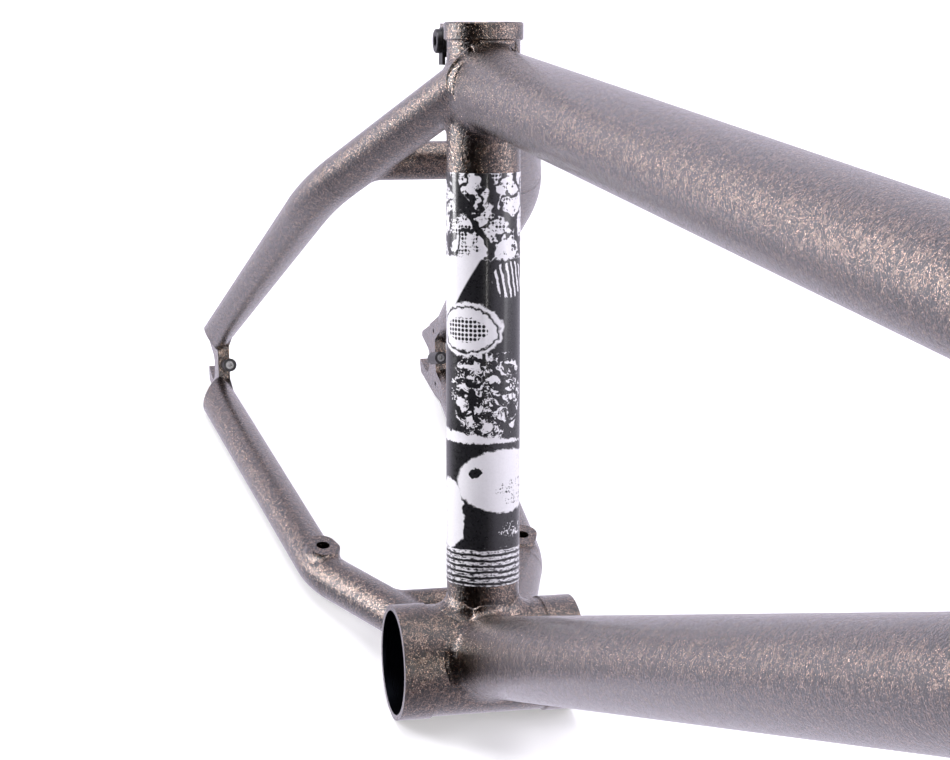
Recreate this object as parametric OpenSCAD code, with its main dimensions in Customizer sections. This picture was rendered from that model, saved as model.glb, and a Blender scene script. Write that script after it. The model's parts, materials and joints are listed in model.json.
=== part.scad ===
// Bare BMX frame with an integrated seat clamp, a 73 mm press-fit bottom bracket shell,
// rear dropouts with screw tensioners and threaded brake pads on the chainstays.
// +X is forward, +Y is the rider's left, +Z is up, and the origin is the bottom bracket's centre.

/* [Frame layout] */
// Angle of the seat tube above the horizontal, degrees
seat_angle = 71.7; // [69:0.1:74]
// Seat tube from the bottom bracket centre to the top of the clamp
seat_tube_l = 250; // [215:1:300]
// Top tube between the seat tube axis and the head tube axis
top_tube_l = 523; // [450:1:600]
// Angle of the top tube above the horizontal, degrees
top_tube_angle = 13.7; // [8:0.1:18]
// Distance from the clamp's top down to the top tube's axis
top_tube_below_clamp = 24; // [22:0.5:40]
// Angle of the head tube above the horizontal, degrees
head_angle = 75; // [73:0.1:77]
// Length of the head tube
head_tube_l = 115; // [105:1:140]
// Distance from the head tube's top down to the top tube's axis
top_tube_drop = 29; // [27:0.5:34]
// Distance from the head tube's bottom up to the down tube's axis
down_tube_rise = 33; // [31:0.5:40]

/* [Rear triangle] */
// Rear axle behind the bottom bracket, along X
axle_back = 343.5; // [330:0.5:420]
// Bottom bracket centre above the rear axle
axle_drop = 38; // [25:0.5:45]
// Hub width between the dropouts' inner faces
hub_w = 110; // [110:1:135]
// Seatstay's upper end, behind the seat tube's axis
seatstay_root_back = 2; // [0:0.5:4]
// Seatstay's upper end, out from the middle of the frame
seatstay_root_out = 13; // [12:0.5:15]
// Seatstay's upper end, below the clamp's top
seatstay_root_drop = 28; // [27:0.5:34]
// Bend of the seatstay, behind the bottom bracket
seatstay_bend_back = 159.5; // [140:0.5:175]
// Bend of the seatstay, out from the middle
seatstay_bend_out = 44.5; // [40:0.5:50]
// Bend of the seatstay, above the bottom bracket
seatstay_bend_up = 135; // [120:0.5:145]
// Radius of the seatstay's bend
seatstay_bend_r = 250; // [100:5:300]
// How far the seatstay's upper end reaches ahead of the seat tube's axis
seatstay_root_fore = 14; // [10:0.5:16]
// Seatstay's lower end, ahead of the axle and above it
seatstay_end = [5.5, 17.5];
// Chainstay's front end, behind the bottom bracket centre
chainstay_root_back = 14; // [12:0.5:16]
// Chainstay's front end, out from the middle
chainstay_root_out = 14; // [12:0.5:16]
// Bend of the chainstay, behind the bottom bracket
chainstay_bend_back = 104; // [95:0.5:120]
// Bend of the chainstay, out from the middle
chainstay_bend_out = 45.5; // [42:0.5:50]
// Bend of the chainstay, below the bottom bracket centre
chainstay_bend_drop = 21; // [12:0.5:24]
// Radius of the chainstay's bend
chainstay_bend_r = 90; // [50:1:120]
// Chainstay's rear end, ahead of the axle and below it
chainstay_end = [9.5, 5];
// Height above the axle of the seatstay's cut at the dropout's outer face
seatstay_cut_up = 16.5; // [14:0.5:20]
// Slant of the seatstay's cut, rising outwards from level, degrees
seatstay_cut_tilt = 60; // [0:5:65]
// Distance ahead of the axle of the chainstay's cut at the dropout's outer face
chainstay_cut_fore = 23; // [15:0.5:26]
// Slant of the chainstay's cut, running forwards as it goes outwards, degrees
chainstay_cut_tilt = 58; // [0:2:62]
// Seatstay bridge, as a share of the way down to the bend
seatstay_bridge_at = 0.65; // [0.5:0.01:0.75]
// Chainstay bridge, as a share of the way back to the bend
chainstay_bridge_at = 0.42; // [0.38:0.01:0.5]

/* [Tubes] */
// Outer diameter of the seat tube
seat_tube_d = 28.6; // [28:0.1:29.5]
// Outer diameter of the seat post that the seat tube takes
seat_post_d = 25.4; // [24:0.1:25.6]
// Depth of the seat post's bore below the clamp's top
post_bore_l = 110; // [90:1:130]
// Wall of the seat tube below the seat post's bore
seat_tube_wall = 1.1; // [0.9:0.05:1.4]
// Outer diameter of the top tube
top_tube_d = 31.8; // [28.6:0.1:34.9]
// Outer diameter of the down tube
down_tube_d = 31.8; // [31.8:0.1:38.1]
// Wall of the top and down tubes
main_wall = 1.0; // [0.7:0.05:1.4]
// Outer diameter of the seatstay at the bend
seatstay_d = 19; // [17:0.1:21]
// Outer diameter of the seatstay at the dropout
seatstay_tip_d = 14.6; // [12.7:0.1:17]
// Outer diameter of the chainstay
chainstay_d = 18.2; // [17:0.1:20]
// Wall of the stays
stay_wall = 1.2; // [0.8:0.05:1.6]
// Outer diameter of both bridges
bridge_d = 16; // [12.7:0.1:17]
// Wall of the bridges
bridge_wall = 1.0; // [0.8:0.05:1.6]

/* [Head tube] */
// Outer diameter of the head tube's middle
head_tube_d = 45; // [43:0.5:48]
// Outer diameter of the head tube's end bands
head_band_d = 48; // [46:0.5:51]
// Length of each end band
head_band_l = 9; // [7:0.5:11]
// Diameter of the headset bearing
headset_bearing_d = 41.8; // [41:0.1:42]
// Depth of each bearing seat's straight wall
headset_seat_l = 6; // [5:0.5:7]
// Inner diameter between the bearing seats
steerer_bore_d = 37; // [34:0.5:39]

/* [Bottom bracket] */
// Width of the bottom bracket shell
bb_w = 73; // [68:0.5:84]
// Diameter of the pressed bearing
bb_bearing_d = 41.2; // [37:0.1:42]
// Outer diameter of the shell's end bands
bb_d = 45.6; // [44.5:0.1:48]
// Length of each end band
bb_band_l = 13; // [8:0.5:16]
// How much the shell is turned down between its bands
bb_relief = 0.7; // [0.3:0.1:1]

/* [Seat clamp] */
// Outer diameter of the clamp ring
clamp_ring_d = 30.6; // [29.2:0.1:32]
// Chamfer on the ring's edges
clamp_ring_chamfer = 0.6; // [0.2:0.1:0.8]
// Height of the clamp ring above its neck
clamp_ring_l = 7; // [5:0.5:9]
// Height of the relieved neck
clamp_neck_l = 7.5; // [6:0.5:9]
// How much smaller the neck is than the seat tube
clamp_neck_relief = 0.3; // [0.2:0.1:1.6]
// Width across both ears
ear_w = 22; // [20:0.5:26]
// Height of the ears
ear_h = 13; // [11:0.5:14]
// How far the ears stand behind the seat tube's axis
ear_back = 26; // [24:0.5:29]
// Width of the clamping slot
clamp_slot_w = 2.6; // [1.5:0.1:3]
// Depth of the slot below the clamp's top
clamp_slot_l = 18; // [16:0.5:19]
// Bolt axis behind the seat tube's axis
bolt_back = 20; // [19:0.5:21]
// Bolt axis below the clamp's top
bolt_drop = 7.3; // [6.5:0.1:8]
// Gap between the clamp's top and the ears' top
ear_drop = 0.5; // [0.3:0.1:1]
// Thread diameter of the clamp bolt
bolt_d = 6; // [5:1:6]
// Core diameter of the clamp bolt's thread, which is how its shank is drawn
bolt_core_d = 5; // [4:0.1:5]
// Clearance hole for the bolt through the ears
bolt_hole_d = 6.6; // [6.2:0.1:6.8]
// How far the bolt's tip stands past its nut
bolt_past_nut = 0.5; // [0.2:0.1:3]
// Diameter of the bolt's low head
bolt_head_d = 9.4; // [9:0.1:10.5]
// Height of the bolt's head
bolt_head_h = 2.2; // [2.2:0.1:4]
// Hexagon of the bolt's socket, across the flats
bolt_hex = 4; // [3:0.5:4]
// Depth of the bolt's hexagon socket
bolt_hex_l = 1.8; // [1.2:0.1:1.9]
// Chamfer round the bolt's head
bolt_chamfer = 0.4; // [0.3:0.1:0.8]
// Thickness of the washer
washer_t = 1.2; // [0.8:0.1:1.5]
// Outer diameter of the washer
washer_d = 10.6; // [10:0.1:12]
// Width of the washer's tab
washer_tab_w = 6; // [4:0.5:8]
// How far the tab runs past the bottom of the ear
washer_tab_past = 3; // [1:0.5:4]
// Clamp nut across the flats
nut_flats = 10; // [9:0.5:10]
// Thickness of the clamp nut
nut_t = 4; // [3:0.5:5]

/* [Dropouts] */
// Thickness of the dropout plate
dropout_t = 6; // [5:0.5:7]
// Width of the axle slot
axle_slot_w = 14; // [10:0.5:14.5]
// Length of the jaws behind the slot's end
jaw_l = 14.5; // [12:0.5:18]
// Height of each jaw's tip
jaw_h = 3.5; // [3:0.5:5]
// Tilt of the tensioner above the horizontal, degrees
tensioner_angle = 27; // [20:1:30]
// Distance from the axle to the plate's front edge
plate_front = 21; // [19:0.5:24]
// Length of the plate's tongue inside the seatstay
upper_tongue_l = 28; // [20:1:36]
// Length of the plate's tongue inside the chainstay
lower_tongue_l = 38; // [28:1:46]
// Half the width of each tongue's tip
tongue_tip_half = 3.5; // [2.5:0.1:4.5]
// How far the upper tongue's edge lies inside the seatstay's
tongue_inset_upper = 1.3; // [0.5:0.1:2]
// How far the lower tongue's edge lies inside the chainstay's
tongue_inset_lower = 0.6; // [0.3:0.1:2]
// Chamfer on the jaws' corners
jaw_chamfer = 1; // [0.5:0.1:2]
// Upper vent hole, up the seatstay from its lower end
vent_up = 6; // [4:0.5:9]
// Lower vent hole, along the chainstay from its rear end
vent_fore = 13; // [10:0.5:16]
// Diameter of the vent hole in each tongue
vent_d = 2.6; // [2:0.1:4]
// How far the tensioner lies inboard of the dropout's middle
tensioner_in = 1.9; // [0:0.1:2]
// Outer diameter of the tensioner's barrel
barrel_d = 6.8; // [6.4:0.1:8]
// Start of the barrel, ahead of the axle
barrel_from = 12; // [11:0.5:14]
// Front face of the barrel, ahead of the axle
barrel_to = 30; // [27:0.5:34]
// Thread diameter of the tensioner screw
tension_d = 4; // [3:1:4]
// Length of the tensioner screw
tension_l = 20; // [14:1:22]
// How far the tensioner screw sits below its barrel's front face
tension_recess = 1; // [0.5:0.1:2]
// Chamfer on the tensioner screw's tip
tension_chamfer = 0.8; // [0.4:0.1:1]
// Depth of the tensioner screw's socket
tension_hex_l = 3; // [2:0.5:4]
// Hexagon of the tensioner screw's socket, across the flats
tension_hex = 2; // [1.5:0.5:2]

/* [Brake pads and decal] */
// Brake pad behind the bottom bracket
brake_pad_back = 108; // [100:0.5:120]
// Brake pad out from the middle
brake_pad_out = 45; // [42:0.5:50]
// Top of the brake pad below the bottom bracket centre
brake_pad_drop = 9.6; // [8:0.1:11]
// Length and width of the oval brake pad
brake_pad_l = 17; // [14:0.5:22]
// Width of the oval brake pad
brake_pad_w = 13; // [11:0.5:15]
// Thread diameter in the brake pad
brake_thread_d = 6; // [5:1:6]
// Depth drilled for that thread, through the pad and the chainstay's upper wall
brake_thread_l = 6.5; // [6:0.5:9]
// Start of the seat tube decal above the bottom bracket, along the tube
decal_from = 32; // [28:1:40]
// Length of the decal along the tube
decal_l = 161; // [120:1:162]
// Thickness of the decal film
decal_t = 0.15; // [0.1:0.05:0.3]
// How far the decal wraps round the tube, degrees
decal_wrap = 320; // [200:5:340]

/* [Hidden] */
$fn = 72;

paint = [0.24, 0.17, 0.15];
black = [0.06, 0.06, 0.07];
steel = [0.45, 0.45, 0.46];
film = [0.92, 0.92, 0.92];
run = 0.1;          // running clearance round a turning screw
press = 0.1;        // clearance round a seated bearing or post
overrun = 20;       // how far a cutting shape passes what it cuts
cap_t = 1.5;        // thickness of the plates that close the stays
lap = 1.5;          // how far a straight length of stay runs into its bend
cutter = 120;       // size of the blocks that cut the stays' ends
lap_step = 0.03;    // how much the bend's wall stands past the straight's, inside and out

function unit(v) = v / norm(v);
function left_of(p) = [p.x, -p.y, p.z];

// Main triangle
seat_dir = [-cos(seat_angle), 0, sin(seat_angle)];
seat_back = [-sin(seat_angle), 0, -cos(seat_angle)];
head_dir = [-cos(head_angle), 0, sin(head_angle)];
top_dir = [cos(top_tube_angle), 0, sin(top_tube_angle)];
clamp_top = seat_tube_l * seat_dir;
top_from = (seat_tube_l - top_tube_below_clamp) * seat_dir;
top_to = top_from + top_tube_l * top_dir;
head_top = top_to + top_tube_drop * head_dir;
head_bottom = head_top - head_tube_l * head_dir;
down_to = head_bottom + down_tube_rise * head_dir;
collar_from = seat_tube_l - clamp_ring_l - clamp_neck_l;
ring_from = seat_tube_l - clamp_ring_l;
post_bore_r = seat_post_d / 2 + press / 2;
bolt_at = clamp_top - bolt_drop * seat_dir + bolt_back * seat_back;

// Rear triangle, drive side
axle = [-axle_back, 0, -axle_drop];
plate_mid = hub_w / 2 + dropout_t / 2;
tensioner_y = plate_mid - tensioner_in;
stay_inset = 0.5;   // how far a stay's inner side stands off the dropout's inner face
seatstay_out = hub_w / 2 + stay_inset + seatstay_tip_d / 2;
chainstay_out = hub_w / 2 + stay_inset + chainstay_d / 2;
ss_root = (seat_tube_l - seatstay_root_drop) * seat_dir + seatstay_root_back * seat_back
    - [0, seatstay_root_out, 0];
ss_bend = [-seatstay_bend_back, -seatstay_bend_out, seatstay_bend_up];
ss_tip = [seatstay_end[0] - axle_back, -seatstay_out, seatstay_end[1] - axle_drop];
cs_root = [-chainstay_root_back, -chainstay_root_out, 0];
cs_bend = [-chainstay_bend_back, -chainstay_bend_out, -chainstay_bend_drop];
cs_tip = [chainstay_end[0] - axle_back, -chainstay_out, -chainstay_end[1] - axle_drop];
ss_lower = unit(ss_bend - ss_tip);
cs_lower = unit(cs_bend - cs_tip);
// The stays are drawn past their ends and then cut back
ss_start = ss_root + overrun * unit(ss_root - ss_bend);
ss_reach = ss_tip - overrun * ss_lower;
ss_reach_r = seatstay_tip_d / 2 - overrun * (seatstay_d - seatstay_tip_d) / 2 / norm(ss_bend - ss_tip);
cs_reach = cs_tip - overrun * cs_lower;
plug_l = overrun + 8;
tensioner_dir = [cos(tensioner_angle), 0, sin(tensioner_angle)];

module along(p, v) {
    translate(p) rotate([0, acos(v.z / norm(v)), atan2(v.y, v.x)]) children();
}

module tube_between(a, b, r) {
    along(a, b - a) cylinder(h = norm(b - a), r = r);
}

module mirrored(left) {
    mirror([0, left ? 1 : 0, 0]) children();
}

// The one bend, of radius bend_r near b, of a bar from a to c: [where the first straight ends, where the
// second starts, centre, axis, sweep]
function bend_of(a, b, c, bend_r) = let (u = unit(a - b), v = unit(c - b), half = acos(u * v) / 2,
    from = b + bend_r / tan(half) * u, to = b + bend_r / tan(half) * v,
    centre = b + unit(u + v) * bend_r / sin(half))
    [from, to, centre, unit(cross(from - centre, to - centre)), 180 - 2 * half];

// The bend's own frame: it turns about Z from X, so the first straight comes in along +Y
module in_bend_frame(bend) {
    axis = bend[3];
    tilt = acos(axis.z);
    spin = atan2(axis.y, axis.x);
    side_x = [cos(spin) * cos(tilt), sin(spin) * cos(tilt), -sin(tilt)];
    side_y = [-sin(spin), cos(spin), 0];
    start = bend[0] - bend[2];
    turn = atan2(start * side_y, start * side_x);
    translate(bend[2]) rotate([0, tilt, spin]) rotate([0, 0, turn]) children();
}

// A solid round bar from a to c with one bend near b, which tapers after the bend. The straights run a
// little way into the bend, which is a hair larger, so the three lengths join as one solid.
module bent_bar(a, b, c, bend_r, r, r_tip) {
    bend = bend_of(a, b, c, bend_r);
    in_bend_frame(bend) {
        translate([bend_r, lap, 0]) rotate([90, 0, 0]) cylinder(h = norm(a - bend[0]) + lap, r = r);
        rotate_extrude(angle = bend[4]) translate([bend_r, 0]) circle(r + lap_step);
        rotate([0, 0, bend[4]]) translate([bend_r, -lap, 0]) rotate([-90, 0, 0])
            cylinder(h = norm(c - bend[1]) + lap, r1 = r, r2 = r_tip);
    }
}

// The same bar as a tube; plug fills its first end
module bent_tube(a, b, c, bend_r, r, r_tip, wall, plug) {
    bend = bend_of(a, b, c, bend_r);
    tail = norm(c - bend[1]) + lap;
    in_bend_frame(bend) {
        translate([bend_r, lap, 0]) rotate([90, 0, 0])
            linear_extrude(norm(a - bend[0]) + lap) ring(r, wall);
        rotate_extrude(angle = bend[4]) translate([bend_r, 0]) ring(r + lap_step, wall + 2 * lap_step);
        rotate([0, 0, bend[4]]) translate([bend_r, -lap, 0]) rotate([-90, 0, 0])
            rotate_extrude() polygon([[r - wall, 0], [r, 0], [r_tip, tail], [r_tip - wall, tail]]);
    }
    if (plug > 0) along(a, b - a) cylinder(h = plug, r = r - wall / 2);
}

module ring(r, wall) {
    difference() {
        circle(r);
        circle(r - wall);
    }
}

module seatstay_bar(shrink = 0) {
    bent_bar(ss_start, ss_bend, ss_reach, seatstay_bend_r, seatstay_d / 2 - shrink, ss_reach_r - shrink);
}

module chainstay_bar(shrink = 0) {
    r = chainstay_d / 2 - shrink;
    bent_bar(cs_root, cs_bend, cs_reach, chainstay_bend_r, r, r);
}

module seat_tube_outer() {
    tube_between([0, 0, 0], (seat_tube_l + overrun) * seat_dir, seat_tube_d / 2);
}

module seat_tube_outer_below(top) {
    tube_between([0, 0, 0], top * seat_dir, seat_tube_d / 2);
}

module bb_outer() {
    rotate([90, 0, 0]) {
        cylinder(h = bb_w, r = bb_d / 2 - bb_relief, center = true);
        for (side = [-1, 1]) translate([0, 0, side * (bb_w - bb_band_l) / 2])
            cylinder(h = bb_band_l, r = bb_d / 2, center = true);
    }
}

module head_outer() {
    tube_between(head_bottom, head_top, head_tube_d / 2);
    tube_between(head_bottom, head_bottom + head_band_l * head_dir, head_band_d / 2);
    tube_between(head_top, head_top - head_band_l * head_dir, head_band_d / 2);
}

// What is cut off the lower end of a seatstay: all below a level plane, and below a plane that rises
// outwards from it at the dropout's outer face
module seatstay_cut() {
    at_plate = [-axle_back, -hub_w / 2 - dropout_t, -axle_drop + seatstay_cut_up];
    for (tilt = [0, -seatstay_cut_tilt]) translate(at_plate) rotate([tilt, 0, 0])
        translate([-cutter / 2, -cutter / 2, -cutter]) cube(cutter);
}

// What is cut off the rear end of a chainstay, in the same way about an upright line
module chainstay_cut() {
    at_plate = [-axle_back + chainstay_cut_fore, -hub_w / 2 - dropout_t, -axle_drop];
    for (tilt = [0, chainstay_cut_tilt]) translate(at_plate) rotate([0, 0, tilt])
        translate([-cutter, -cutter / 2, -cutter / 2]) cube(cutter);
}

module head_tube() {
    seat_r = headset_bearing_d / 2 + press;
    cone_h = seat_r - steerer_bore_d / 2;
    color(paint) difference() {
        head_outer();
        tube_between(head_bottom - head_dir, head_top + head_dir, steerer_bore_d / 2);
        along(head_top + head_dir, -head_dir) {
            cylinder(h = headset_seat_l + 1, r = seat_r);
            translate([0, 0, headset_seat_l + 1]) cylinder(h = cone_h, r1 = seat_r, r2 = steerer_bore_d / 2);
        }
        along(head_bottom - head_dir, head_dir) {
            cylinder(h = headset_seat_l + 1, r = seat_r);
            translate([0, 0, headset_seat_l + 1]) cylinder(h = cone_h, r1 = seat_r, r2 = steerer_bore_d / 2);
        }
    }
}

module top_tube() {
    color(paint) difference() {
        tube_between(top_from, top_to, top_tube_d / 2);
        tube_between(top_from, top_to, top_tube_d / 2 - main_wall);
        seat_tube_outer();
        clamp_box([0, overrun], [-overrun, overrun], [-overrun, 60]);
        head_outer();
    }
}

module down_tube() {
    color(paint) difference() {
        tube_between([0, 0, 0], down_to, down_tube_d / 2);
        tube_between([0, 0, 0], down_to, down_tube_d / 2 - main_wall);
        bb_outer();
        head_outer();
        seat_tube_outer();
    }
}

// A box in the clamp's own directions: from behind the seat tube's axis, across, and down from the top
module clamp_box(back, across, down) {
    rotate([0, seat_angle - 90, 0]) translate([-back[1], across[0], seat_tube_l - down[1]])
        cube([back[1] - back[0], across[1] - across[0], down[1] - down[0]]);
}

// Slot that lets the clamp close: a saw cut at the back with a drilled end
module clamp_slot_cut() {
    clamp_box([0, ear_back + overrun], [-clamp_slot_w / 2, clamp_slot_w / 2], [-overrun, clamp_slot_l]);
    tube_between((seat_tube_l - clamp_slot_l) * seat_dir,
        (seat_tube_l - clamp_slot_l) * seat_dir + overrun * seat_back, clamp_slot_w);
}

module seat_tube() {
    color(paint) difference() {
        tube_between([0, 0, 0], collar_from * seat_dir, seat_tube_d / 2);
        tube_between([0, 0, 0], (seat_tube_l + 1) * seat_dir, post_bore_r);
        tube_between([0, 0, 0], (seat_tube_l - post_bore_l) * seat_dir, seat_tube_d / 2 - seat_tube_wall);
        bb_outer();
        clamp_slot_cut();
    }
}

module collar_outer() {
    neck_to = ring_from + clamp_ring_l / 2;
    ring_r = clamp_ring_d / 2;
    tube_between(collar_from * seat_dir, neck_to * seat_dir, (seat_tube_d - clamp_neck_relief) / 2);
    flat_l = clamp_ring_l - 2 * clamp_ring_chamfer;
    along(ring_from * seat_dir, seat_dir) {
        cylinder(h = clamp_ring_chamfer, r1 = ring_r - clamp_ring_chamfer, r2 = ring_r);
        translate([0, 0, clamp_ring_chamfer]) cylinder(h = flat_l, r = ring_r);
        translate([0, 0, clamp_ring_chamfer + flat_l])
            cylinder(h = clamp_ring_chamfer, r1 = ring_r, r2 = ring_r - clamp_ring_chamfer);
    }
}

module seat_collar() {
    color(paint) difference() {
        collar_outer();
        tube_between([0, 0, 0], clamp_top + seat_dir, post_bore_r);
        clamp_slot_cut();
    }
}

// One of the two ears that the bolt draws together, from the slot out
module clamp_ear(left) {
    color(paint) mirrored(left) difference() {
        clamp_box([post_bore_r, ear_back], [-ear_w / 2, -clamp_slot_w / 2], [ear_drop, ear_drop + ear_h]);
        collar_outer();
        seat_tube_outer_below(collar_from);
        translate(bolt_at) rotate([90, 0, 0]) cylinder(h = ear_w, r = bolt_hole_d / 2);
    }
}

module clamp_bolt() {
    head_from = ear_w / 2 + washer_t;
    tip = ear_w / 2 + nut_t + bolt_past_nut;
    head_r = bolt_head_d / 2;
    color(black) translate(bolt_at) rotate([90, 0, 0]) difference() {
        union() {
            translate([0, 0, head_from]) cylinder(h = bolt_head_h - bolt_chamfer, r = head_r);
            translate([0, 0, head_from + bolt_head_h - bolt_chamfer])
                cylinder(h = bolt_chamfer, r1 = head_r, r2 = head_r - bolt_chamfer);
            translate([0, 0, -tip]) cylinder(h = head_from + tip, r = bolt_core_d / 2);
        }
        translate([0, 0, head_from + bolt_head_h - bolt_hex_l])
            cylinder(h = bolt_head_h, r = bolt_hex / sqrt(3), $fn = 6);
    }
}

// The washer's tab folds down the ear's outer face and keeps the washer from turning
module clamp_washer() {
    color(black) difference() {
        union() {
            translate(bolt_at - [0, ear_w / 2, 0]) rotate([90, 0, 0])
                cylinder(h = washer_t, r = washer_d / 2);
            clamp_box([bolt_back - washer_tab_w / 2, bolt_back + washer_tab_w / 2],
                [-ear_w / 2 - washer_t, -ear_w / 2], [bolt_drop, ear_drop + ear_h + washer_tab_past]);
        }
        translate(bolt_at - [0, ear_w / 2, 0]) rotate([90, 0, 0])
            cylinder(h = 4 * washer_t, r = bolt_core_d / 2 + run, center = true);
    }
}

module clamp_nut() {
    color(black) translate(bolt_at + [0, ear_w / 2, 0]) rotate([-90, 0, 0]) difference() {
        cylinder(h = nut_t, r = nut_flats / sqrt(3), $fn = 6);
        translate([0, 0, -1]) cylinder(h = nut_t + 2, r = bolt_d / 2 + run);
    }
}

module bb_shell() {
    color(paint) difference() {
        bb_outer();
        rotate([90, 0, 0]) cylinder(h = bb_w + 2, r = bb_bearing_d / 2, center = true);
    }
}

module seatstay(left) {
    color(paint) mirrored(left) difference() {
        bent_tube(ss_start, ss_bend, ss_reach, seatstay_bend_r, seatstay_d / 2, ss_reach_r, stay_wall,
            plug_l);
        seat_tube_outer();
        tube_between(top_from - top_dir, top_to, top_tube_d / 2);
        clamp_box([-overrun * 3, -seatstay_root_fore], [-60, 60], [-overrun, 60]);
        seatstay_cut();
        dropout_notch();
    }
}

module chainstay(left) {
    color(paint) mirrored(left) difference() {
        bent_tube(cs_root, cs_bend, cs_reach, chainstay_bend_r, chainstay_d / 2, chainstay_d / 2,
            stay_wall, 0);
        bb_outer();
        chainstay_cut();
        dropout_notch();
        brake_thread();
    }
}

module seatstay_bridge() {
    at = ss_root + seatstay_bridge_at * (ss_bend - ss_root);
    color(paint) difference() {
        tube_between(at, left_of(at), bridge_d / 2);
        tube_between(at, left_of(at), bridge_d / 2 - bridge_wall);
        for (left = [false, true]) mirrored(left) seatstay_bar();
    }
}

module chainstay_bridge() {
    at = cs_root + chainstay_bridge_at * (cs_bend - cs_root);
    color(paint) difference() {
        tube_between(at, left_of(at), bridge_d / 2);
        tube_between(at, left_of(at), bridge_d / 2 - bridge_wall);
        for (left = [false, true]) mirrored(left) chainstay_bar();
    }
}

// Dropout outline, ahead of the axle and above it
function tongue(tip, dir, from, to, half0, half1) = let (u = unit([dir.x, dir.z]), n = [-u[1], u[0]],
    p = [tip.x + axle_back, tip.z + axle_drop])
    [p + from * u + half0 * n, p + to * u + half1 * n, p + to * u - half1 * n, p + from * u - half0 * n];

module plate_outline() {
    slot_r = axle_slot_w / 2;
    upper = seatstay_tip_d / 2 - tongue_inset_upper;
    lower = chainstay_d / 2 - tongue_inset_lower;
    jaw = slot_r + jaw_h;
    front = plate_front * [cos(tensioner_angle), sin(tensioner_angle)];
    front_side = [-sin(tensioner_angle), cos(tensioner_angle)];
    polygon(tongue(ss_tip, ss_lower, -2, upper_tongue_l, upper, tongue_tip_half));
    polygon(tongue(cs_tip, cs_lower, 0, lower_tongue_l, lower, tongue_tip_half));
    polygon([
        [-jaw_l, 0],
        [-jaw_l, jaw - jaw_chamfer],
        [-jaw_l + jaw_chamfer, jaw],
        seatstay_end + [-6, 2],
        seatstay_end + [10, 6],
        front + 10 * front_side,
        front - 6 * front_side,
        [chainstay_end[0] + 14, -chainstay_end[1]],
        [chainstay_end[0], -chainstay_end[1] - lower],
        [-jaw_l + 5, -jaw - 3.2],
        [-jaw_l + jaw_chamfer, -jaw],
        [-jaw_l, -jaw + jaw_chamfer]
    ]);
}

// The plate without its holes
module dropout_plate() {
    translate(axle - [0, hub_w / 2, 0]) rotate([90, 0, 0]) linear_extrude(dropout_t) plate_outline();
}

// The stays' ends are cut away to the plate's outer face, all the way in, to take the plate
module dropout_notch() {
    translate(axle - [0, hub_w / 2 - overrun, 0]) rotate([90, 0, 0])
        linear_extrude(dropout_t + overrun) plate_outline();
}

module dropout(left) {
    slot_r = axle_slot_w / 2;
    vents = [ss_tip + vent_up * ss_lower, cs_tip + vent_fore * cs_lower];
    color(paint) mirrored(left) difference() {
        dropout_plate();
        translate(axle - [0, plate_mid, 0]) rotate([90, 0, 0]) {
            cylinder(h = dropout_t + 2, r = slot_r, center = true);
            translate([-overrun * 2, -slot_r, -dropout_t]) cube([overrun * 2, axle_slot_w, 2 * dropout_t]);
        }
        along(axle - [0, tensioner_y, 0] + barrel_from * tensioner_dir, tensioner_dir)
            cylinder(h = overrun * 2, r = barrel_d / 2);
        along(axle - [0, tensioner_y, 0], tensioner_dir) cylinder(h = overrun * 2, r = tension_d / 2 + run);
        for (p = vents) translate([p.x, -plate_mid, p.z]) rotate([90, 0, 0])
            cylinder(h = dropout_t + 2, r = vent_d / 2, center = true);
    }
}

// Everything outside the dropout's outer face, drive side
module outboard() {
    translate([-axle_back - cutter / 2, -hub_w / 2 - dropout_t - cutter, -axle_drop - cutter / 2])
        cube(cutter);
}

// Plates that close the stays' cut ends, outside the dropout
module seatstay_cap(left) {
    color(paint) mirrored(left) intersection() {
        seatstay_bar(stay_wall);
        outboard();
        translate([-axle_back, -hub_w / 2 - dropout_t, -axle_drop + seatstay_cut_up])
            rotate([-seatstay_cut_tilt, 0, 0]) translate([-cutter / 2, -cutter / 2, 0])
                cube([cutter, cutter, cap_t]);
    }
}

module chainstay_cap(left) {
    color(paint) mirrored(left) intersection() {
        chainstay_bar(stay_wall);
        outboard();
        translate([-axle_back + chainstay_cut_fore, -hub_w / 2 - dropout_t, -axle_drop])
            rotate([0, 0, chainstay_cut_tilt]) translate([0, -cutter / 2, -cutter / 2])
                cube([cap_t, cutter, cutter]);
    }
}

module tensioner_barrel(left) {
    color(black) mirrored(left)
        along(axle - [0, tensioner_y, 0] + barrel_from * tensioner_dir, tensioner_dir) difference() {
            cylinder(h = barrel_to - barrel_from, r = barrel_d / 2);
            translate([0, 0, -1]) cylinder(h = barrel_to, r = tension_d / 2 + run);
        }
}

module tensioner_screw(left) {
    from = barrel_to - tension_recess - tension_l;
    tip_r = tension_d / 2 - tension_chamfer;
    color(steel) mirrored(left) along(axle - [0, tensioner_y, 0] + from * tensioner_dir, tensioner_dir)
        difference() {
            union() {
                cylinder(h = tension_chamfer, r1 = tip_r, r2 = tension_d / 2);
                translate([0, 0, tension_chamfer])
                    cylinder(h = tension_l - tension_chamfer, r = tension_d / 2);
            }
            translate([0, 0, tension_l - tension_hex_l])
                cylinder(h = tension_hex_l + 1, r = tension_hex / sqrt(3), $fn = 6);
        }
}

// Drilling for a brake mount's screw, drive side
module brake_thread() {
    translate([-brake_pad_back, -brake_pad_out, -brake_pad_drop - brake_thread_l])
        cylinder(h = brake_thread_l + 1, r = brake_thread_d / 2);
}

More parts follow.
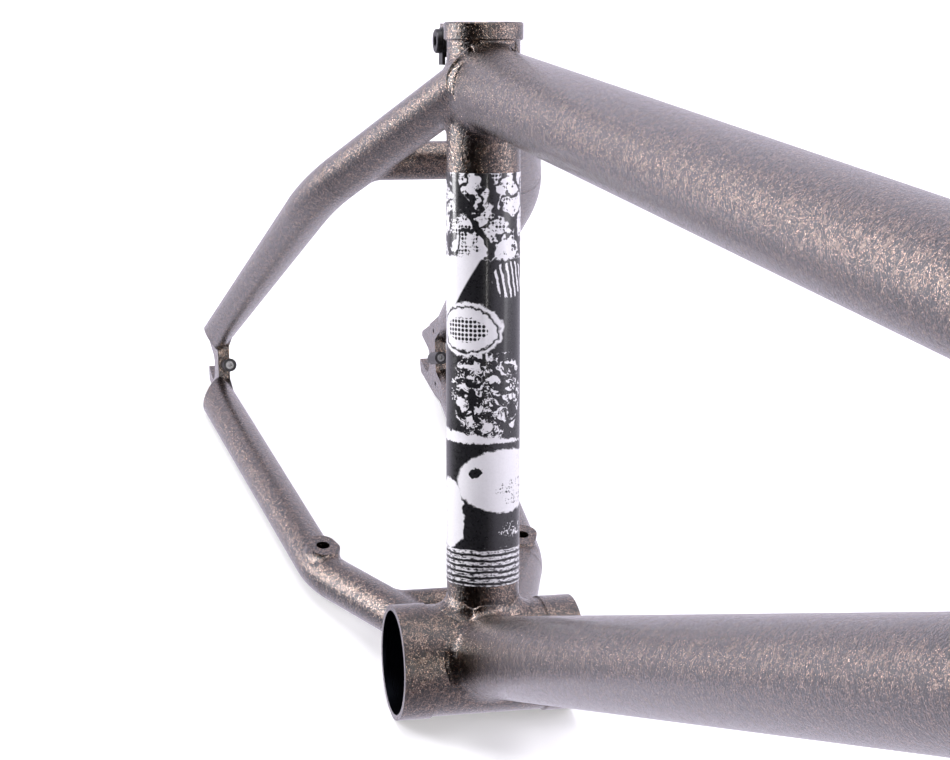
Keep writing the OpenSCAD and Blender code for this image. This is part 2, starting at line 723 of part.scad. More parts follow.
// An oval threaded pad, welded on top of each chainstay's bend
module brake_pad(left) {
    pad_dir = unit(cs_bend - cs_root);
    ends = (brake_pad_l - brake_pad_w) / 2;
    pad_h = chainstay_d / 2;
    color(paint) mirrored(left) difference() {
        translate([-brake_pad_back, -brake_pad_out, -brake_pad_drop - pad_h])
            rotate([0, 0, atan2(pad_dir.y, pad_dir.x)]) {
                for (side = [-1, 1]) translate([side * ends, 0, 0]) cylinder(h = pad_h, r = brake_pad_w / 2);
                translate([-ends, -brake_pad_w / 2, 0]) cube([2 * ends, brake_pad_w, pad_h]);
            }
        chainstay_bar();
        brake_thread();
    }
}

module seat_tube_decal() {
    color(film) along(decal_from * seat_dir, seat_dir) rotate([0, 0, 180 - decal_wrap / 2])
        rotate_extrude(angle = decal_wrap) translate([seat_tube_d / 2, 0]) square([decal_t, decal_l]);
}

head_tube();
top_tube();
down_tube();
seat_tube();
seat_collar();
clamp_ear(false);  // clamp_ear_right
clamp_ear(true);  // clamp_ear_left
clamp_bolt();
clamp_washer();
clamp_nut();
bb_shell();
seatstay(false);  // seatstay_right
seatstay(true);  // seatstay_left
chainstay(false);  // chainstay_right
chainstay(true);  // chainstay_left
seatstay_bridge();
chainstay_bridge();
dropout(false);  // dropout_right
dropout(true);  // dropout_left
seatstay_cap(false);  // seatstay_cap_right
seatstay_cap(true);  // seatstay_cap_left
chainstay_cap(false);  // chainstay_cap_right
chainstay_cap(true);  // chainstay_cap_left
tensioner_barrel(false);  // tensioner_barrel_right
tensioner_barrel(true);  // tensioner_barrel_left
tensioner_screw(false);  // tensioner_screw_right
tensioner_screw(true);  // tensioner_screw_left
brake_pad(false);  // brake_pad_right
brake_pad(true);  // brake_pad_left
seat_tube_decal();
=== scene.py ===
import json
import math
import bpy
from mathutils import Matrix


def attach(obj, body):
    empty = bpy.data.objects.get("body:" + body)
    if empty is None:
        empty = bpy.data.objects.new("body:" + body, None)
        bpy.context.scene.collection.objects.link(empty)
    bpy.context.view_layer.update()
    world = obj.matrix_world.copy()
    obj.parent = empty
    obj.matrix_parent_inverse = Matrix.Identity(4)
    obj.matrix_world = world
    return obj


bl_info = {
    "name": "BMX frame",
    "version": (1, 0, 0),
    "blender": (4, 5, 0),
    "location": "3D View > Sidebar > BMX frame",
    "description": "Paint, welds, decal, hardware and studio for a bare BMX frame",
    "category": "Object",
}

import bpy
from mathutils import Matrix, Vector

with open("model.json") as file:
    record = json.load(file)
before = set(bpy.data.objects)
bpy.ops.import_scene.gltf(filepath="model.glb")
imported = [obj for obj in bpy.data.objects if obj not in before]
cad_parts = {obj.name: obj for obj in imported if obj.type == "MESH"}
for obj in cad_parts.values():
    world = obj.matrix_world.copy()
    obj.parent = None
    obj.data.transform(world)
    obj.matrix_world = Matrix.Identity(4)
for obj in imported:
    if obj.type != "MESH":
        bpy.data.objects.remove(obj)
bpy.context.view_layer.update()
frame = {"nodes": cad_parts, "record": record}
MM = 0.001

# ---------------------------------------------------------------------------------------------
# The frame's layout, in millimetres, as the welds need it
# ---------------------------------------------------------------------------------------------


def millimetres(length):
    """A property's length in millimetres, without its single-precision error."""
    return round(length / MM, 4)


def direction(angle, back=False):
    """A unit vector in the frame's middle plane, angle degrees above the horizontal."""
    a = math.radians(angle)
    return Vector((-math.cos(a) if back else math.cos(a), 0, math.sin(a)))


CENTRE = Vector((0, 0, 0))
ACROSS = Vector((0, 1, 0))
SEAT_DIR = direction(71.7, back=True)
SEAT_BACK = Vector((-SEAT_DIR.z, 0, SEAT_DIR.x))
HEAD_DIR = direction(75, back=True)
TOP_FROM = SEAT_DIR * 226
TOP_TO = TOP_FROM + direction(13.7) * 523
HEAD_TOP = TOP_TO + HEAD_DIR * 29
HEAD_BOTTOM = HEAD_TOP - HEAD_DIR * 115
DOWN_TO = HEAD_BOTTOM + HEAD_DIR * 33
SEAT_R, MAIN_R, HEAD_R, HEAD_BAND_R = 14.3, 15.9, 22.5, 24.0
BB_R, BB_BAND_R, BB_HALF, BB_BAND = 22.1, 22.8, 36.5, 13.0
SEATSTAY_R, CHAINSTAY_R, BRIDGE_R = 9.5, 9.1, 8.0
CLAMP_NECK_FROM, CLAMP_RING_FROM, CLAMP_TOP = 235.5, 243.0, 250.0
CLAMP_NECK_R, CLAMP_RING_R = 14.15, 15.3
SEATSTAY_FORE = 14.0
SEAT_BRIDGE_SHARE, CHAIN_BRIDGE_SHARE = 0.65, 0.42
PAD_BACK, PAD_OUT, PAD_DROP = 108.0, 45.0, 9.6
PAD_END, PAD_R = 2.0, 6.5
SIDES = ((-1, "right"), (1, "left"))
# the bare frame rests on its bracket shell and its dropouts
FLOOR_TILT = math.radians(4.6)
FLOOR_HALF = 6.0
ROOM_LIGHT, ROOM_DARK = (0.83, 0.78, 0.92, 1), (0.012, 0.01, 0.011, 1)
DARK_CORNER = (0.56, -0.82, 0.12)
DARK_FROM, DARK_TO = 0.05, 0.6
# strength and smoothness of the powder coat's clear layer
COAT = {"Coat_Weight": 1.0, "Coat_Roughness": 0.1, "Coat_IOR": 1.75}


def seatstay_points(side):
    """Upper end, bend and lower end of a seatstay; side is -1 on the rider's right."""
    upper = SEAT_DIR * 222 + SEAT_BACK * 2 + ACROSS * (13 * side)
    return upper, Vector((-159.5, 44.5 * side, 135)), Vector((-338, 62.8 * side, -20.5))


def chainstay_points(side):
    """Front end, bend and rear end of a chainstay."""
    return Vector((-14, 14 * side, 0)), Vector((-104, 45.5 * side, -21)), Vector((-334, 64.6 * side, -43))


# ---------------------------------------------------------------------------------------------
# Distances to the frame's solids: each returns a function of a point, negative inside
# ---------------------------------------------------------------------------------------------


def rod(a, b, r):
    """A round bar from a to b with flat ends."""
    axis = (b - a).normalized()
    length = (b - a).length

    def distance(p):
        s = (p - a).dot(axis)
        out = (p - a - axis * s).length - r
        past = max(-s, s - length)
        if out > 0 and past > 0:
            return math.hypot(out, past)
        return max(out, past)

    return distance


def nearest_of(*solids):
    """The solids together."""
    return lambda p: min(d(p) for d in solids)


def slope(distance, p, step=0.02):
    """The outward normal of a solid near p."""
    grad = Vector((
        distance(p + Vector((step, 0, 0))) - distance(p - Vector((step, 0, 0))),
        distance(p + Vector((0, step, 0))) - distance(p - Vector((0, step, 0))),
        distance(p + Vector((0, 0, step))) - distance(p - Vector((0, 0, step))),
    ))
    return grad.normalized() if grad.length > 1e-9 else Vector((0, 0, 1))


def onto(distance, p, level):
    """p moved onto a solid's surface, or to a level beside it."""
    for _ in range(4):
        p = p - slope(distance, p) * (distance(p) - level)
    return p


def seat_tube_solid():
    return nearest_of(
        rod(CENTRE, SEAT_DIR * CLAMP_NECK_FROM, SEAT_R),
        rod(SEAT_DIR * CLAMP_NECK_FROM, SEAT_DIR * CLAMP_RING_FROM, CLAMP_NECK_R),
        rod(SEAT_DIR * CLAMP_RING_FROM, SEAT_DIR * CLAMP_TOP, CLAMP_RING_R),
    )


def stay_end_plane(p):
    """How far p is behind the upright plane where the seatstays' upper ends stop."""
    return p.dot(SEAT_BACK) + SEATSTAY_FORE


def seatstay_solid(side):
    """A seatstay's straight upper length, cut off by the plane where it stops."""
    upper, bend, _ = seatstay_points(side)
    bar = rod(bend, upper + (upper - bend).normalized() * 30, SEATSTAY_R)
    return lambda p: max(bar(p), -stay_end_plane(p))


def pad_direction(side):
    """The way a brake pad's oval lies: along its chainstay, on the level."""
    front, bend, _ = chainstay_points(side)
    return Vector((bend.x - front.x, bend.y - front.y, 0)).normalized()


def brake_pad_solid(side):
    """The pad as an upright oval post."""
    along = pad_direction(side)
    middle = Vector((-PAD_BACK, PAD_OUT * side, 0))

    def distance(p):
        flat = Vector((p.x, p.y, 0)) - middle
        s = max(-PAD_END, min(PAD_END, flat.dot(along)))
        return max((flat - along * s).length - PAD_R, p.z + PAD_DROP)

    return distance


def bb_solid():
    inner = BB_HALF - BB_BAND
    return nearest_of(
        rod(-ACROSS * BB_HALF, ACROSS * BB_HALF, BB_R),
        rod(-ACROSS * BB_HALF, -ACROSS * inner, BB_BAND_R),
        rod(ACROSS * inner, ACROSS * BB_HALF, BB_BAND_R),
    )


def head_solid():
    return nearest_of(
        rod(HEAD_BOTTOM, HEAD_TOP, HEAD_R),
        rod(HEAD_BOTTOM, HEAD_BOTTOM + HEAD_DIR * 9, HEAD_BAND_R),
        rod(HEAD_TOP - HEAD_DIR * 9, HEAD_TOP, HEAD_BAND_R),
    )


# ---------------------------------------------------------------------------------------------
# Mesh helpers
# ---------------------------------------------------------------------------------------------


def add_weld(name, mesh):
    """A painted weld from a mesh in metres, riding on the frame."""
    weld = bpy.data.objects.new(name, mesh)
    bpy.context.scene.collection.objects.link(weld)
    mesh.materials.append(paint_material())
    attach(weld, "frame")


def ring_mesh(name, sections):
    """A closed solid from equal sections, loops of points in millimetres, that follow each other round."""
    count, size = len(sections), len(sections[0])
    points = [tuple(p * MM) for section in sections for p in section]
    faces = []
    for i in range(count):
        j = (i + 1) % count
        for k in range(size):
            m = (k + 1) % size
            faces.append((i * size + k, i * size + m, j * size + m, j * size + k))
    mesh = bpy.data.meshes.new(name)
    mesh.from_pydata(points, [], faces)
    for face in mesh.polygons:
        face.use_smooth = True
    return mesh


def smooth_loop(vectors, rounds):
    """Unit vectors round a loop, evened out with their neighbours."""
    count = len(vectors)
    for _ in range(rounds):
        vectors = [
            (vectors[i - 1] + vectors[i] * 2 + vectors[(i + 1) % count]).normalized() for i in range(count)]
    return vectors


def weld_mesh(name, path, onto_a, onto_b, leg_a, leg_b, fullness):
    """A fillet of weld along a closed path where two solids meet.

    leg_a and leg_b are its reach over each solid, and leg_a may be a function of a point. fullness is how
    far the weld's face stands out of the corner, and its edges sink just under both surfaces.
    """
    count, steps, sink = len(path), 8, -0.06
    turn = [(path[(i + 1) % count] - path[i - 1]).normalized() for i in range(count)]
    normal_a = smooth_loop([slope(onto_a, p + slope(onto_a, p) * 0.05) for p in path], 3)
    normal_b = smooth_loop([slope(onto_b, p + slope(onto_b, p) * 0.05) for p in path], 3)
    sections = []
    for i, p in enumerate(path):
        out_a = turn[i].cross(normal_a[i])
        out_b = turn[i].cross(normal_b[i])
        out_a = out_a if onto_b(p + out_a) > onto_b(p - out_a) else -out_a
        out_b = out_b if onto_a(p + out_b) > onto_a(p - out_b) else -out_b
        reach_a = leg_a(p) if callable(leg_a) else leg_a
        ripple = 1 + 0.035 * math.sin(i * 2.1) + 0.03 * math.sin(i * 0.83 + 1.7)
        end_a = onto(onto_a, p + out_a * reach_a * ripple, sink)
        end_b = onto(onto_b, p + out_b * leg_b * ripple, sink)
        corner = p + (end_a + end_b - p * 2) * fullness
        face = []
        for k in range(steps + 1):
            t = k / steps
            face.append(end_a * (1 - t) ** 2 + corner * (2 * t * (1 - t)) + end_b * t ** 2)
        deep = p - (normal_a[i] + normal_b[i]).normalized() * 0.5
        sections.append(face + [deep])
    return ring_mesh(name, sections)


def walk(p, axis, solid):
    """Where the straight line from p along axis first meets a solid, within 200 steps."""
    for _ in range(200):
        gap = solid(p)
        if gap < 1e-4:
            break
        p = p + axis * gap
    return p


def tube_end_path(start, axis, r, solid, count=128):
    """Where a round tube's wall, followed straight along axis from start, first meets a solid."""
    u = axis.orthogonal().normalized()
    v = axis.cross(u)
    turns = (2 * math.pi * i / count for i in range(count))
    return [walk(start + (u * math.cos(a) + v * math.sin(a)) * r, axis, solid) for a in turns]


def pad_foot_path(side, solid, count=72):
    """Where a brake pad's upright side meets the stay below it."""
    along = pad_direction(side)
    across = Vector((-along.y, along.x, 0))
    middle = Vector((-PAD_BACK, PAD_OUT * side, -PAD_DROP))
    path = []
    for i in range(count):
        a = 2 * math.pi * (i + 0.5) / count
        end = along * math.copysign(PAD_END, math.cos(a))
        rim = middle + end + (along * math.cos(a) + across * math.sin(a)) * PAD_R
        path.append(walk(rim, Vector((0, 0, -1)), solid))
    return path


# ---------------------------------------------------------------------------------------------
# Material helpers
# ---------------------------------------------------------------------------------------------


class Nodes:
    """A material's node tree, with short ways to add and join nodes."""

    def __init__(self, name):
        self.material = bpy.data.materials.new(name)
        self.material.use_nodes = True
        self.tree = self.material.node_tree
        self.tree.nodes.clear()
        self.shader = self.tree.nodes.new("ShaderNodeBsdfPrincipled")
        output = self.tree.nodes.new("ShaderNodeOutputMaterial")
        self.tree.links.new(self.shader.outputs["BSDF"], output.inputs["Surface"])

    def put(self, socket, value):
        """Sets a socket to a number or colour, or joins it to another socket."""
        if isinstance(value, bpy.types.NodeSocket):
            self.tree.links.new(value, socket)
        elif hasattr(socket.default_value, "__len__") and not hasattr(value, "__len__"):
            socket.default_value = (value,) * len(socket.default_value)
        elif hasattr(value, "__len__") and len(value) == 3 and len(socket.default_value) == 4:
            socket.default_value = (*value, 1)
        else:
            socket.default_value = value

    def math(self, operation, a, b=0.0):
        node = self.tree.nodes.new("ShaderNodeMath")
        node.operation = operation
        for socket, value in zip(node.inputs, (a, b)):
            self.put(socket, value)
        return node.outputs[0]

    def place(self):
        """Position in the object's own frame, in metres."""
        return self.tree.nodes.new("ShaderNodeTexCoord").outputs["Object"]

    def dot(self, vector, direction):
        node = self.tree.nodes.new("ShaderNodeVectorMath")
        node.operation = "DOT_PRODUCT"
        self.put(node.inputs[0], vector)
        node.inputs[1].default_value = tuple(direction)
        return node.outputs["Value"]

    def noise(self, vector, scale, detail=2.0, roughness=0.5, distortion=0.0):
        node = self.tree.nodes.new("ShaderNodeTexNoise")
        self.put(node.inputs["Vector"], vector)
        node.inputs["Scale"].default_value = scale
        node.inputs["Detail"].default_value = detail
        node.inputs["Roughness"].default_value = roughness
        node.inputs["Distortion"].default_value = distortion
        return node.outputs["Fac"]

    def cells(self, vector, scale, smoothness=0.6, feature="SMOOTH_F1"):
        node = self.tree.nodes.new("ShaderNodeTexVoronoi")
        node.feature = feature
        self.put(node.inputs["Vector"], vector)
        node.inputs["Scale"].default_value = scale
        if feature == "SMOOTH_F1":
            node.inputs["Smoothness"].default_value = smoothness
        else:
            node.inputs["Randomness"].default_value = 0.1
        return node.outputs["Distance"]

    def between(self, value, low, high, to_low=0.0, to_high=1.0):
        """Value rescaled smoothly from one span to another."""
        node = self.tree.nodes.new("ShaderNodeMapRange")
        node.interpolation_type = "SMOOTHSTEP"
        for socket, number in zip(node.inputs, (value, low, high, to_low, to_high)):
            self.put(socket, number)
        return node.outputs["Result"]

    def mix(self, factor, a, b):
        node = self.tree.nodes.new("ShaderNodeMix")
        node.data_type = "RGBA"
        self.put(node.inputs["Factor"], factor)
        self.put(node.inputs[6], a)
        self.put(node.inputs[7], b)
        return node.outputs[2]

    def mix_vector(self, factor, a, b):
        node = self.tree.nodes.new("ShaderNodeMix")
        node.data_type = "VECTOR"
        self.put(node.inputs["Factor"], factor)
        self.put(node.inputs[4], a)
        self.put(node.inputs[5], b)
        return node.outputs[1]

    def vector(self, x, y):
        node = self.tree.nodes.new("ShaderNodeCombineXYZ")
        for socket, value in zip(node.inputs, (x, y)):
            self.put(socket, value)
        return node.outputs[0]

    def scaled(self, vector, scales):
        node = self.tree.nodes.new("ShaderNodeVectorMath")
        node.operation = "MULTIPLY"
        self.put(node.inputs[0], vector)
        node.inputs[1].default_value = tuple(scales)
        return node.outputs["Vector"]

    def bump(self, height, strength, distance, normal=None):
        node = self.tree.nodes.new("ShaderNodeBump")
        self.put(node.inputs["Height"], height)
        node.inputs["Strength"].default_value = strength
        node.inputs["Distance"].default_value = distance
        if normal is not None:
            self.put(node.inputs["Normal"], normal)
        return node.outputs["Normal"]

    def finish(self, **sockets):
        for name, value in sockets.items():
            self.put(self.shader.inputs[name.replace("_", " ")], value)
        return self.material


MADE = {}


def paint_nodes(name):
    """The hammered copper-vein powder coat's nodes: place, colour, metal, roughness and normal."""
    look = bpy.context.scene.bmx_paint
    n = Nodes(name)
    place = n.place()
    cell = 1 / look.hammer_size
    wander = n.noise(place, cell * 0.35, 3.0, 0.55, 0.5)
    dimple = n.cells(place, cell, 0.8)
    vein = n.noise(place, cell * 1.5, 3.0, 0.62, 1.1)
    flake = n.noise(place, cell * 5.0, 2.0, 0.6)
    height = n.math("ADD", n.math("MULTIPLY", vein, 0.75), n.math("MULTIPLY", dimple, -0.35))
    ridge = n.math("ADD", vein, n.math("MULTIPLY", n.math("SUBTRACT", wander, 0.5), 0.35))
    copper = n.between(ridge, 0.50, 0.57)
    copper = n.math("MULTIPLY", copper, n.between(flake, 0.25, 0.6, 0.45, 1.0))
    colour = n.mix(n.math("MULTIPLY", copper, look.fleck_amount), tuple(look.dark), tuple(look.copper))
    spark = n.math("MULTIPLY", n.between(flake, 0.52, 0.6), copper)
    colour = n.mix(n.math("MULTIPLY", spark, 0.7), colour, tuple(look.bright))
    normal = n.bump(height, look.hammer_depth, look.hammer_size * 0.45)
    normal = n.bump(flake, 0.25, 0.00006, normal)
    rough = n.between(wander, 0.3, 0.7, look.gloss_low, look.gloss_high)
    metal = n.between(copper, 0.0, 1.0, 0.88, 1.0)
    return n, place, colour, metal, rough, normal


def paint_material():
    """The powder coat, made once."""
    if "paint" not in MADE:
        n, _, colour, metal, rough, normal = paint_nodes("hammertone_paint")
        MADE["paint"] = n.finish(
            Base_Color=colour, Metallic=metal, Roughness=rough, Normal=normal, Coat_Normal=normal, **COAT)
    return MADE["paint"]


def bore_paint_material():
    """The powder coat with a smooth, dark, machined bore inside the bottom bracket shell."""
    if "bore" not in MADE:
        n, place, colour, metal, rough, normal = paint_nodes("bottom_bracket_paint")
        split = n.tree.nodes.new("ShaderNodeSeparateXYZ")
        n.put(split.inputs[0], place)
        r = n.math("SQRT", n.math("ADD", n.math("POWER", split.outputs["X"], 2.0),
                                   n.math("POWER", split.outputs["Z"], 2.0)))
        inside = n.math("LESS_THAN", r, 0.02075)
        turned = n.noise(n.scaled(place, (60.0, 2600.0, 60.0)), 1.0, 2.0, 0.5)
        bare = n.mix(turned, (0.012, 0.014, 0.02), (0.035, 0.04, 0.055))
        smooth = n.bump(turned, 0.1, 0.00003)
        MADE["bore"] = n.finish(
            Base_Color=n.mix(inside, colour, bare),
            Metallic=n.math("ADD", metal, n.math("MULTIPLY", inside, 0.2)),
            Roughness=n.math("ADD", n.math("MULTIPLY", rough, n.math("SUBTRACT", 1.0, inside)),
                             n.math("MULTIPLY", inside, 0.3)),
            Normal=n.mix_vector(inside, normal, smooth),
            Coat_Normal=n.mix_vector(inside, normal, smooth), **COAT)
    return MADE["bore"]


def steel_material(name, dark, light, metallic, rough):
    """Fastener steel, blackened or plated, with handling wear in its roughness."""
    if name not in MADE:
        n = Nodes(name)
        place = n.place()
        cloud = n.noise(place, 320.0, 3.0, 0.6)
        fine = n.noise(place, 2600.0, 2.0, 0.6)
        MADE[name] = n.finish(
            Base_Color=n.mix(n.between(cloud, 0.35, 0.7), dark, light),
            Metallic=metallic,
            Roughness=n.between(
                n.math("ADD", n.math("MULTIPLY", cloud, 0.6), n.math("MULTIPLY", fine, 0.4)),
                0.3, 0.7, rough - 0.08, rough + 0.12),
            Normal=n.bump(fine, 0.15, 0.00004),
        )
    return MADE[name]


def decal_material():
    """The decal's clear-coated film: an abstract black and white pattern laid out up and round the tube."""
    if "decal" in MADE:
        return MADE["decal"]
    look = bpy.context.scene.bmx_decal
    n = Nodes("decal_film")
    place = n.place()
    up = n.math("MULTIPLY", n.dot(place, SEAT_DIR), 1000.0)
    fore = n.math("MULTIPLY", n.dot(place, -SEAT_BACK), 1000.0)
    left = n.math("MULTIPLY", n.dot(place, ACROSS), 1000.0)
    turn = n.math("MULTIPLY", n.math("ARCTAN2", left, fore), SEAT_R)
    sheet = n.vector(turn, up)
    wobble = n.math("MULTIPLY", n.math("SUBTRACT", n.noise(sheet, 0.09, 3.0, 0.6), 0.5), 9.0)
    fine_wobble = n.math("MULTIPLY", n.math("SUBTRACT", n.noise(sheet, 0.45, 3.0, 0.65), 0.5), 3.5)
    across = n.math("ADD", turn, wobble)
    along = n.math("ADD", up, fine_wobble)

    def blob(x, y, wide, high):
        """1 inside an ellipse with a slightly wandering outline."""
        dx = n.math("DIVIDE", n.math("SUBTRACT", across, x), wide)
        dy = n.math("DIVIDE", n.math("SUBTRACT", along, y), high)
        r = n.math("ADD", n.math("POWER", dx, 2.0), n.math("POWER", dy, 2.0))
        return n.between(r, 1.06, 0.94)

    def band(low, high):
        """1 between two heights up the tube."""
        above = n.between(along, low - 0.25, low + 0.25)
        return n.math("MULTIPLY", above, n.between(along, high + 0.25, high - 0.25))

    def add(white, shape):
        return n.math("MAXIMUM", white, shape)

    def take(white, shape):
        return n.math("MINIMUM", white, n.math("SUBTRACT", 1.0, shape))

    def strokes(angle, pitch, share, warp, scale):
        """Wavering brush strokes: 1 on each stroke."""
        a = math.radians(angle)
        level = n.math("MULTIPLY", turn, math.cos(a) / pitch)
        run = n.math("ADD", level, n.math("MULTIPLY", up, math.sin(a) / pitch))
        run = n.math("ADD", run, n.math("MULTIPLY", n.noise(sheet, scale, 3.0, 0.6), warp))
        wave = n.math("SINE", n.math("MULTIPLY", run, 2 * math.pi))
        return n.between(wave, 1 - 2 * share - 0.12, 1 - 2 * share + 0.12)

    def dots(pitch, r):
        """A grid of printed dots."""
        return n.between(n.cells(sheet, 1 / pitch, feature="F1"), r + 0.05, r - 0.05)

    def ring(x, y, wide, high, line):
        """The outline of an ellipse."""
        return n.math("SUBTRACT", blob(x, y, wide, high), blob(x, y, wide - line, high - line))

    def only(shape, where):
        return n.math("MULTIPLY", shape, where)

    blotches = n.between(n.noise(sheet, 0.22, 4.0, 0.62, 0.8), 0.52, 0.55)
    marks = n.between(n.noise(sheet, 0.6, 3.0, 0.6, 1.2), 0.55, 0.58)
    # a white ground crossed by heavy and fine strokes, with patches of dots
    head = band(160.0, 193.5)
    white = only(1.0, head)
    white = take(white, only(strokes(35, 13.0, 0.20, 2.2, 0.06), head))
    white = take(white, only(strokes(-50, 9.0, 0.13, 2.6, 0.11), head))
    white = take(white, only(only(dots(1.5, 0.42), blotches), head))
    # a dark block with a white blade across it
    block = band(139.0, 161.0)
    rise = n.math("MULTIPLY", n.math("SUBTRACT", up, 140.0), 0.62)
    blade = n.math("SUBTRACT", rise, n.math("ADD", turn, 17.0))
    white = add(white, only(n.between(blade, -0.4, 0.4), block))
    white = add(white, only(only(strokes(12, 2.6, 0.3, 0.9, 0.2), blob(8.0, 152.0, 8.0, 7.0)), block))
    # an outlined cloud
    white = add(white, blob(-10.5, 133.0, 14.5, 10.5))
    white = take(white, ring(-10.5, 133.0, 13.2, 9.2, 0.9))
    white = take(white, only(dots(1.7, 0.4), blob(-11.0, 133.0, 9.0, 4.6)))
    # broken white marks on black
    body = band(90.0, 124.0)
    marked = add(
        only(blotches, n.math("SUBTRACT", 1.0, strokes(70, 6.5, 0.3, 2.4, 0.12))),
        only(marks, strokes(-20, 11.0, 0.5, 2.0, 0.08)))
    white = add(white, only(only(marked, body), blob(-1.0, 108.0, 16.0, 19.0)))
    # a slanting white line
    slant = n.math("ADD", along, n.math("MULTIPLY", turn, 0.12))
    white = add(white, only(n.between(slant, 91.2, 90.6), band(88.6, 96.0)))
    # two large white lobes with a dark spot
    white = add(white, blob(6.0, 73.5, 21.0, 12.5))
    white = add(white, blob(-20.0, 60.0, 9.0, 14.0))
    white = take(white, blob(-5.5, 77.0, 2.5, 2.1))
    white = take(white, only(only(dots(1.5, 0.42), marks), blob(12.0, 69.0, 10.0, 5.0)))
    white = add(white, only(marks, blob(10.0, 54.0, 7.0, 3.0)))
    # worn lines at the foot
    foot = band(31.0, 47.0)
    worn = n.between(n.noise(n.vector(n.math("MULTIPLY", turn, 0.35), up), 1.3, 4.0, 0.72), 0.42, 0.52)
    white = add(white, only(only(strokes(90, 2.3, 0.62, 0.8, 0.15), worn), foot))
    grain = n.noise(place, 900.0, 3.0, 0.6)
    paper = n.mix(n.between(grain, 0.3, 0.7), tuple(look.pale), tuple(c * 0.93 for c in look.pale))
    ink = n.mix(n.between(grain, 0.3, 0.7), tuple(look.ink), tuple(c * 1.6 for c in look.ink))
    MADE["decal"] = n.finish(
        Base_Color=n.mix(white, ink, paper),
        Roughness=n.between(grain, 0.2, 0.8, 0.24, 0.36),
        Normal=n.bump(n.cells(place, 640.0, 0.8), 0.16, 0.0002),
        Coat_Weight=0.5, Coat_Roughness=0.1,
    )
    return MADE["decal"]


# ---------------------------------------------------------------------------------------------
# Painting, camera, floor and lights
# ---------------------------------------------------------------------------------------------


def repaint(node, material):
    """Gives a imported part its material."""
    mesh = frame["nodes"][node].data
    if not mesh.materials:
        mesh.materials.append(material)
    for slot in frame["nodes"][node].material_slots:
        slot.material = material


def camera_axes(look):
    """The camera's right, up and back directions."""
    a, e, roll = look.camera_azimuth, look.camera_elevation, look.camera_roll
    back = Vector((math.cos(e) * math.cos(a), -math.cos(e) * math.sin(a), math.sin(e)))
    right = Vector((0, 0, 1)).cross(back).normalized()
    up = back.cross(right)
    return right * math.cos(roll) + up * math.sin(roll), up * math.cos(roll) - right * math.sin(roll), back


def make_camera(look):
    data = bpy.data.cameras.new("camera")
    data.sensor_width = 36
    data.lens = look.lens
    data.clip_start, data.clip_end = 0.02, 50
    camera = bpy.data.objects.new("camera", data)
    bpy.context.scene.collection.objects.link(camera)
    right, up, back = camera_axes(look)
    turned = Matrix((right, up, back)).transposed().to_4x4()
    camera.matrix_world = Matrix.Translation(Vector(look.camera_at)) @ turned
    bpy.context.scene.camera = camera


def make_floor(look):
    """A wide pale floor that the bracket shell and the dropouts rest on."""
    rest_front = Vector((-BB_BAND_R * math.sin(FLOOR_TILT), 0, -BB_BAND_R * math.cos(FLOOR_TILT))) * MM
    along = Vector((math.cos(FLOOR_TILT), 0, math.sin(FLOOR_TILT)))
    corners = [
        rest_front + along * (x * FLOOR_HALF) + ACROSS * (y * FLOOR_HALF)
        for x, y in ((-1, -1), (1, -1), (1, 1), (-1, 1))]
    mesh = bpy.data.meshes.new("floor")
    mesh.from_pydata([tuple(c) for c in corners], [], [(0, 1, 2, 3)])
    n = Nodes("floor_matte")
    cloud = n.noise(n.place(), 1.5, 2.0, 0.5)
    mesh.materials.append(n.finish(
        Base_Color=n.mix(cloud, tuple(look.floor_colour), tuple(c * 0.99 for c in look.floor_colour)),
        Roughness=0.9, Emission_Color=(1, 1, 1), Emission_Strength=0.35))
    floor = bpy.data.objects.new("floor", mesh)
    bpy.context.scene.collection.objects.link(floor)
    floor.visible_glossy = False


def area_light(name, at, target, size, power, colour=(1, 1, 1)):
    data = bpy.data.lights.new(name, "AREA")
    data.shape = "RECTANGLE"
    data.size, data.size_y = size
    data.energy = power
    data.color = colour
    light = bpy.data.objects.new(name, data)
    bpy.context.scene.collection.objects.link(light)
    light.location = at
    light.rotation_mode = "QUATERNION"
    light.rotation_quaternion = (Vector(target) - Vector(at)).to_track_quat("-Z", "Y")


def make_lights():
    """Soft panels either side, ahead and overhead."""
    middle = (-0.02, 0, 0.1)
    area_light("panel_right", (-0.75, -1.5, 0.5), middle, (0.5, 1.6), 34, (0.98, 0.97, 1.0))
    area_light("panel_front", (1.7, -0.02, 0.75), middle, (0.2, 1.1), 9, (1.0, 0.97, 0.94))
    area_light("panel_left", (0.5, 1.6, 0.8), middle, (1.2, 1.4), 14, (0.96, 0.95, 1.0))
    area_light("panel_top", (-0.3, 0.0, 1.9), middle, (1.4, 1.4), 16)


